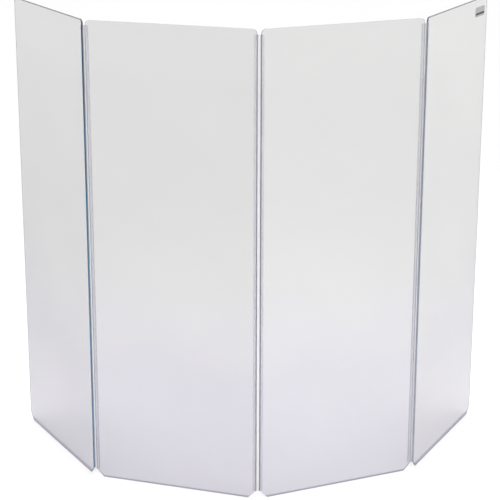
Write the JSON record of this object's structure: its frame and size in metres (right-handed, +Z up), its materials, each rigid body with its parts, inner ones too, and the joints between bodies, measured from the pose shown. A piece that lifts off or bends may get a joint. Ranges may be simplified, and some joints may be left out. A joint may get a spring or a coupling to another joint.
{
  "type": "drum shield",
  "caption": "Free-standing folding screen of tall clear acrylic panels joined by full-length flexible hinges, placed round a drum kit to hold back its sound.",
  "frame": {"origin": "on the floor, at the middle of the footprint's bounding box", "axes": "+Z up, -Y towards the listeners on the convex side, +Y towards the player, +X to the right as seen by the listeners"},
  "size_m": [1.7586, 0.806, 1.6764],
  "materials": {
    "acrylic": "clear cast acrylic with polished edges",
    "hinge_channel": "clear rigid extruded vinyl",
    "hinge_web": "clear soft extruded vinyl",
    "label": "blank satin film sticker"
  },
  "bodies": {
    "centre_web": {"centre_hinge_web": "hinge_web"},
    "left_inner": {"left_inner_panel": "acrylic", "left_hinge_inner_channel": "hinge_channel", "centre_hinge_left_channel": "hinge_channel"},
    "left_web": {"left_hinge_web": "hinge_web"},
    "left_outer": {"left_outer_panel": "acrylic", "left_hinge_outer_channel": "hinge_channel"},
    "right_inner": {"right_inner_panel": "acrylic", "centre_hinge_right_channel": "hinge_channel", "right_hinge_inner_channel": "hinge_channel"},
    "right_web": {"right_hinge_web": "hinge_web"},
    "right_outer": {"right_outer_panel": "acrylic", "right_hinge_outer_channel": "hinge_channel", "blank_label": "label"}
  },
  "joints": [
    {"name": "centre_hinge_left_bend", "type": "hinge", "parent": "centre_web", "child": "left_inner", "pos_m": [0.01779, -0.39911, 0], "axis": [0, 0, 1], "range_deg": [-9.05, 110.95]},
    {"name": "centre_hinge_right_bend", "type": "hinge", "parent": "centre_web", "child": "right_inner", "pos_m": [0.02778, -0.3986, 0], "axis": [0, 0, -1], "range_deg": [-9.05, 110.95]},
    {"name": "left_hinge_inner_bend", "type": "hinge", "parent": "left_inner", "child": "left_web", "pos_m": [-0.56654, -0.20925, 0], "axis": [0, 0, -1], "range_deg": [-21.2, 68.8]},
    {"name": "left_hinge_outer_bend", "type": "hinge", "parent": "left_web", "child": "left_outer", "pos_m": [-0.57428, -0.20293, 0], "axis": [0, 0, -1], "range_deg": [-21.2, 68.8]},
    {"name": "right_hinge_inner_bend", "type": "hinge", "parent": "right_inner", "child": "right_web", "pos_m": [0.5895, -0.14968, 0], "axis": [0, 0, 1], "range_deg": [-19.45, 70.55]},
    {"name": "right_hinge_outer_bend", "type": "hinge", "parent": "right_web", "child": "right_outer", "pos_m": [0.59677, -0.14281, 0], "axis": [0, 0, 1], "range_deg": [-19.45, 70.55]}
  ]
}
